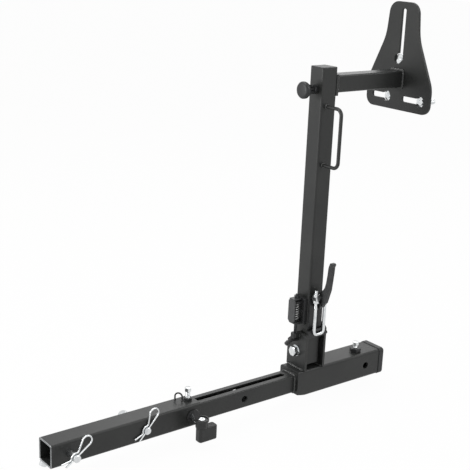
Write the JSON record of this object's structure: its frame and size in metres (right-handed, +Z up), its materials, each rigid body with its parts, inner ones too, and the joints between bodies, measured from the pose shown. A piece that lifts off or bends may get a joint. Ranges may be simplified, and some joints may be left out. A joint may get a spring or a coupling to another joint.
{
  "type": "hitch spare tire carrier",
  "caption": "Square hitch bar with a folding upright mast, latches and a slotted plate that carries a spare wheel behind a vehicle.",
  "frame": {"origin": "centre of the first pin hole, on the shank's axis", "axes": "+X along the bar away from the vehicle, +Z up along the mast, +Y to the side that the mast folds down to"},
  "size_m": [0.944, 0.196, 0.916],
  "materials": {
    "powder_steel": "satin black powder coat",
    "zinc_steel": "bright zinc plate",
    "black_steel": "black oxide and black paint",
    "black_plastic": "moulded black plastic",
    "black_rubber": "matt black rubber",
    "spring_steel": "bright spring wire",
    "grey_cast": "black painted zinc casting"
  },
  "bodies": {
    "bar": {"shank_tube": "powder_steel", "slide_bar": "powder_steel", "receiver_tube": "powder_steel", "receiver_end_plate": "powder_steel", "shank_nut": "black_steel", "receiver_nut": "black_steel", "tether_loop": "black_steel", "lock_washer": "black_rubber", "front_plate": "powder_steel", "rear_plate": "powder_steel", "catch": "black_steel", "catch_screws": "zinc_steel", "keeper": "powder_steel", "pivot_bolt": "zinc_steel", "pivot_nut": "zinc_steel", "pivot_washers": "zinc_steel"},
    "mast": {"mast_tube": "powder_steel", "mast_cap": "black_plastic", "grab_handle": "powder_steel", "saddle_plate": "powder_steel", "arm_tube": "powder_steel", "arm_plug": "black_steel", "knob_nut": "black_steel", "wheel_plate": "powder_steel", "wheel_studs": "zinc_steel", "wheel_washers": "zinc_steel", "wheel_nuts": "zinc_steel", "pivot_bush": "powder_steel", "latch_base": "black_steel", "latch_screws": "black_steel", "plunger_spring": "spring_steel", "toggle_base": "black_steel", "toggle_screws": "black_steel", "toggle_pin": "black_steel"},
    "fold_pin": {"fold_pin": "black_steel", "fold_pin_clip": "spring_steel"},
    "plunger": {"plunger_rod": "black_steel", "plunger_nut": "black_steel", "pull_plate": "black_steel"},
    "lever": {"toggle_lever": "black_steel"},
    "latch_loop": {"trunnion": "zinc_steel", "u_bolt": "zinc_steel", "u_bolt_nuts": "zinc_steel"},
    "knob": {"knob": "black_plastic", "knob_stud": "zinc_steel"},
    "hitch_pin": {"hitch_pin": "zinc_steel", "hitch_clip": "spring_steel"},
    "length_pin": {"length_pin": "zinc_steel", "length_clip": "spring_steel"},
    "lock_pin": {"lock_pin": "zinc_steel"},
    "lock": {"lock_body": "grey_cast", "lock_collar": "black_plastic"},
    "key": {"key_cylinder": "zinc_steel"},
    "dust_cap": {"dust_cap": "black_rubber"},
    "shank_bolt": {"shank_bolt": "zinc_steel"},
    "receiver_bolt": {"receiver_bolt": "zinc_steel"},
    "end_cap": {"receiver_cap": "black_plastic"}
  },
  "joints": [
    {"name": "mast_fold", "type": "hinge", "parent": "bar", "child": "mast", "pos_m": [0.632, 0, 0.073], "axis": [1, 0, 0], "range_deg": [-90, 0]},
    {"name": "fold_pin_pull", "type": "slide", "parent": "bar", "child": "fold_pin", "axis": [-1, 0, 0], "range_m": [0, 0.0292]},
    {"name": "plunger_lift", "type": "slide", "parent": "mast", "child": "plunger", "axis": [0, 0, 1], "range_m": [0, 0.0242], "stiffness_N_per_m": 300, "springref_m": -0.01, "deforming": ["plunger_spring"]},
    {"name": "lever_swing", "type": "hinge", "parent": "mast", "child": "lever", "pos_m": [0.633, -0.038, 0.19], "axis": [1, 0, 0], "range_deg": [0, 64]},
    {"name": "loop_swing", "type": "hinge", "parent": "lever", "child": "latch_loop", "pos_m": [0.633, -0.0365, 0.207], "axis": [1, 0, 0], "range_deg": [-136, 0]},
    {"name": "knob_turn", "type": "hinge", "parent": "mast", "child": "knob", "pos_m": [0.59, 0, 0.674], "axis": [1, 0, 0], "continuous": true},
    {"name": "hitch_pin_slide", "type": "slide", "parent": "bar", "child": "hitch_pin", "axis": [0, 1, 0], "range_m": [-0.01, 0.022]},
    {"name": "length_pin_slide", "type": "slide", "parent": "bar", "child": "length_pin", "axis": [0, 1, 0], "range_m": [-0.033, 0.0015]},
    {"name": "lock_pin_slide", "type": "slide", "parent": "bar", "child": "lock_pin", "axis": [0, 1, 0], "range_m": [-0.0008, 0.0165]},
    {"name": "lock_pull", "type": "slide", "parent": "lock_pin", "child": "lock", "axis": [0, -1, 0], "range_m": [0, 0.028]},
    {"name": "key_turn", "type": "hinge", "parent": "lock", "child": "key", "pos_m": [0.291, -0.0627, 0.008], "axis": [0, 0, 1], "range_deg": [-90, 0]},
    {"name": "dust_cap_flip", "type": "hinge", "parent": "lock", "child": "dust_cap", "pos_m": [0.2778, -0.0627, 0.0125], "axis": [0, 1, 0], "range_deg": [0, 90]},
    {"name": "shank_bolt_turn", "type": "slide", "parent": "bar", "child": "shank_bolt", "axis": [0, 0, -1], "range_m": [-0.003, 0.0085]},
    {"name": "receiver_bolt_turn", "type": "slide", "parent": "bar", "child": "receiver_bolt", "axis": [0, 0, -1], "range_m": [-0.001, 0.0065]},
    {"name": "end_cap_pull", "type": "slide", "parent": "bar", "child": "end_cap", "axis": [1, 0, 0], "range_m": [0, 0.026]}
  ],
  "couplings": [
    {"joint": "fold_pin_pull", "follows": "mast_fold", "m_per_rad": -0.0185},
    {"joint": "plunger_lift", "follows": "mast_fold", "m_per_rad": -0.0153},
    {"joint": "lever_swing", "follows": "mast_fold", "ratio": -0.7},
    {"joint": "loop_swing", "follows": "mast_fold", "ratio": 1.5}
  ]
}
